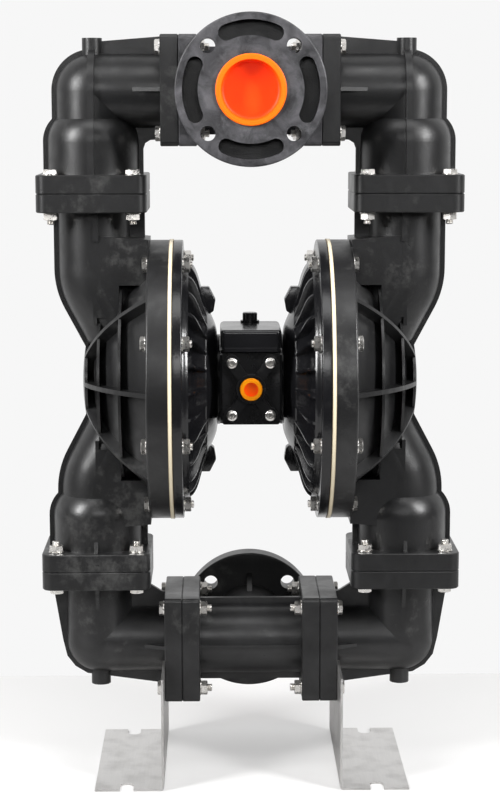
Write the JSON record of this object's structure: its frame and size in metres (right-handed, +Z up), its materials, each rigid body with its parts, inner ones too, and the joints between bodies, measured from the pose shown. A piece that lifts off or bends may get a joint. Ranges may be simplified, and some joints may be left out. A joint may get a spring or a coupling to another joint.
{
  "type": "air operated double diaphragm pump",
  "caption": "Air operated double diaphragm pump with black moulded housings, flanged ports closed by orange plugs, and stainless steel feet.",
  "frame": {"origin": "on the floor, midway between the two feet", "axes": "+Z up, -Y out of the outlet port (the front), +X to the right seen from the front"},
  "size_m": [0.552, 0.3719, 0.9982],
  "materials": {
    "black_plastic": "moulded, satin",
    "gloss_black": "glossy",
    "stainless_bolts": "plain stainless",
    "stainless_sheet": "brushed",
    "orange_plastic": "satin",
    "white_ptfe": "satin",
    "plate_metal": "cast",
    "seal_rubber": "matt",
    "bush_metal": "machined"
  },
  "bodies": {
    "pump": {"outlet_manifold": "black_plastic", "inlet_manifold": "black_plastic", "outlet_elbow_left": "black_plastic", "outlet_elbow_right": "black_plastic", "inlet_elbow_left": "black_plastic", "inlet_elbow_right": "black_plastic", "fluid_cover_left": "black_plastic", "fluid_cover_right": "black_plastic", "air_inlet_cover": "black_plastic", "exhaust_cover": "black_plastic", "outlet_seats": "black_plastic", "inlet_seats": "black_plastic", "air_cover_left": "gloss_black", "air_cover_right": "gloss_black", "centre_block": "gloss_black", "valve_chest": "gloss_black", "valve_joint_bolts": "stainless_bolts", "valve_joint_nuts": "stainless_bolts", "outlet_manifold_bolts": "stainless_bolts", "outlet_manifold_nuts": "stainless_bolts", "inlet_manifold_bolts": "stainless_bolts", "inlet_manifold_nuts": "stainless_bolts", "foot_bolts": "stainless_bolts", "foot_nuts": "stainless_bolts", "chamber_bolts": "stainless_bolts", "chamber_nuts": "stainless_bolts", "cover_screws": "stainless_bolts", "air_cover_screws": "stainless_bolts", "foot_left": "stainless_sheet", "foot_right": "stainless_sheet", "diaphragm_left": "white_ptfe", "diaphragm_right": "white_ptfe", "rod_seals": "seal_rubber", "silencer": "seal_rubber", "rod_bushes": "bush_metal"},
    "rod": {"diaphragm_rod": "stainless_sheet", "inner_plate_left": "plate_metal", "inner_plate_right": "plate_metal", "outer_plate_left": "white_ptfe", "outer_plate_right": "white_ptfe"},
    "spool": {"air_valve_spool": "stainless_sheet"},
    "pilot": {"pilot_pin": "stainless_sheet"},
    "button": {"reset_button": "gloss_black"},
    "outlet_ball_left": {"outlet_ball_left": "white_ptfe"},
    "outlet_ball_right": {"outlet_ball_right": "white_ptfe"},
    "inlet_ball_left": {"inlet_ball_left": "white_ptfe"},
    "inlet_ball_right": {"inlet_ball_right": "white_ptfe"},
    "outlet_plug": {"outlet_plug": "orange_plastic"},
    "inlet_plug": {"inlet_plug": "orange_plastic"},
    "air_inlet_plug": {"air_inlet_plug": "orange_plastic"}
  },
  "joints": [
    {"name": "rod_stroke", "type": "slide", "parent": "pump", "child": "rod", "axis": [1, 0, 0], "range_m": [-0.015, 0.015], "deforming": ["diaphragm_left", "diaphragm_right"]},
    {"name": "spool_shift", "type": "slide", "parent": "pump", "child": "spool", "axis": [1, 0, 0], "range_m": [-0.007, 0.007]},
    {"name": "pilot_shift", "type": "slide", "parent": "pump", "child": "pilot", "axis": [1, 0, 0], "range_m": [-0.006, 0.006]},
    {"name": "button_press", "type": "slide", "parent": "pump", "child": "button", "axis": [0, 0, -1], "range_m": [0, 0.005], "stiffness_N_per_m": 400, "springref_m": -0.002},
    {"name": "outlet_ball_left_lift", "type": "slide", "parent": "pump", "child": "outlet_ball_left", "axis": [0, 0, 1], "range_m": [0, 0.02]},
    {"name": "outlet_ball_right_lift", "type": "slide", "parent": "pump", "child": "outlet_ball_right", "axis": [0, 0, 1], "range_m": [0, 0.02]},
    {"name": "inlet_ball_left_lift", "type": "slide", "parent": "pump", "child": "inlet_ball_left", "axis": [0, 0, 1], "range_m": [0, 0.02]},
    {"name": "inlet_ball_right_lift", "type": "slide", "parent": "pump", "child": "inlet_ball_right", "axis": [0, 0, 1], "range_m": [0, 0.02]},
    {"name": "outlet_plug_pull", "type": "slide", "parent": "pump", "child": "outlet_plug", "axis": [0, -1, 0], "range_m": [0, 0.12]},
    {"name": "inlet_plug_pull", "type": "slide", "parent": "pump", "child": "inlet_plug", "axis": [0, 1, 0], "range_m": [0, 0.12]},
    {"name": "air_inlet_plug_pull", "type": "slide", "parent": "pump", "child": "air_inlet_plug", "axis": [0, -1, 0], "range_m": [0, 0.06]}
  ]
}
